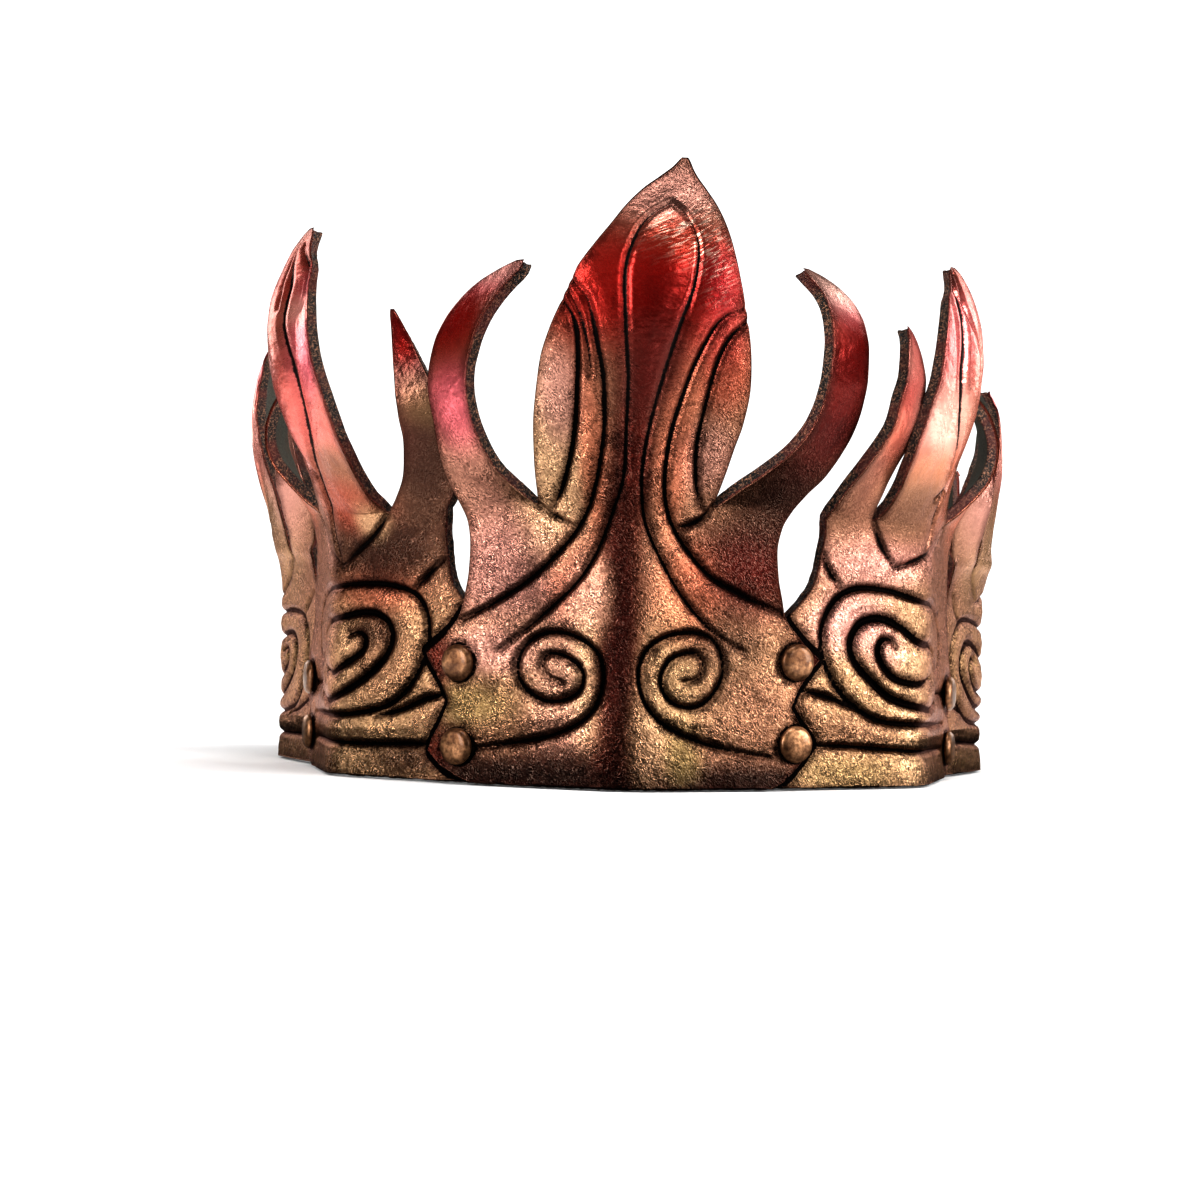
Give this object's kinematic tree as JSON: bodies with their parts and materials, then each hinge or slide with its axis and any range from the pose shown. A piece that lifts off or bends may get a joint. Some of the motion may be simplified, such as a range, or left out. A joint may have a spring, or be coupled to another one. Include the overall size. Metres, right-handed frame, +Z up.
{
  "type": "leather crown",
  "caption": "Flame-shaped leather crown of folded, carved panels riveted end over end into a ring that is open at top and bottom.",
  "frame": {"origin": "on the floor, under the middle of the crown's box", "axes": "+Z up out of the crown, -Y out of the front of the forehead, +X to the right seen from the front"},
  "size_m": [0.2048, 0.2069, 0.1474],
  "materials": {
    "leather": "carved, grained leather rubbed with antique bronze, copper and crimson metallic paint over black grooves; bare dark flesh side inside",
    "rivets": "double cap rivets brushed over with the same antique bronze paint"
  },
  "bodies": {
    "root": {"front_panel": "leather", "left_side_panel": "leather", "right_side_panel": "leather", "left_rear_panel": "leather", "right_rear_panel": "leather", "back_band": "leather", "rivet_left_front_upper": "rivets", "rivet_left_front_lower": "rivets", "rivet_left_side_upper": "rivets", "rivet_left_side_lower": "rivets", "rivet_left_rear_upper": "rivets", "rivet_left_rear_lower": "rivets", "rivet_right_front_upper": "rivets", "rivet_right_front_lower": "rivets", "rivet_right_side_upper": "rivets", "rivet_right_side_lower": "rivets", "rivet_right_rear_upper": "rivets", "rivet_right_rear_lower": "rivets"}
  },
  "joints": []
}
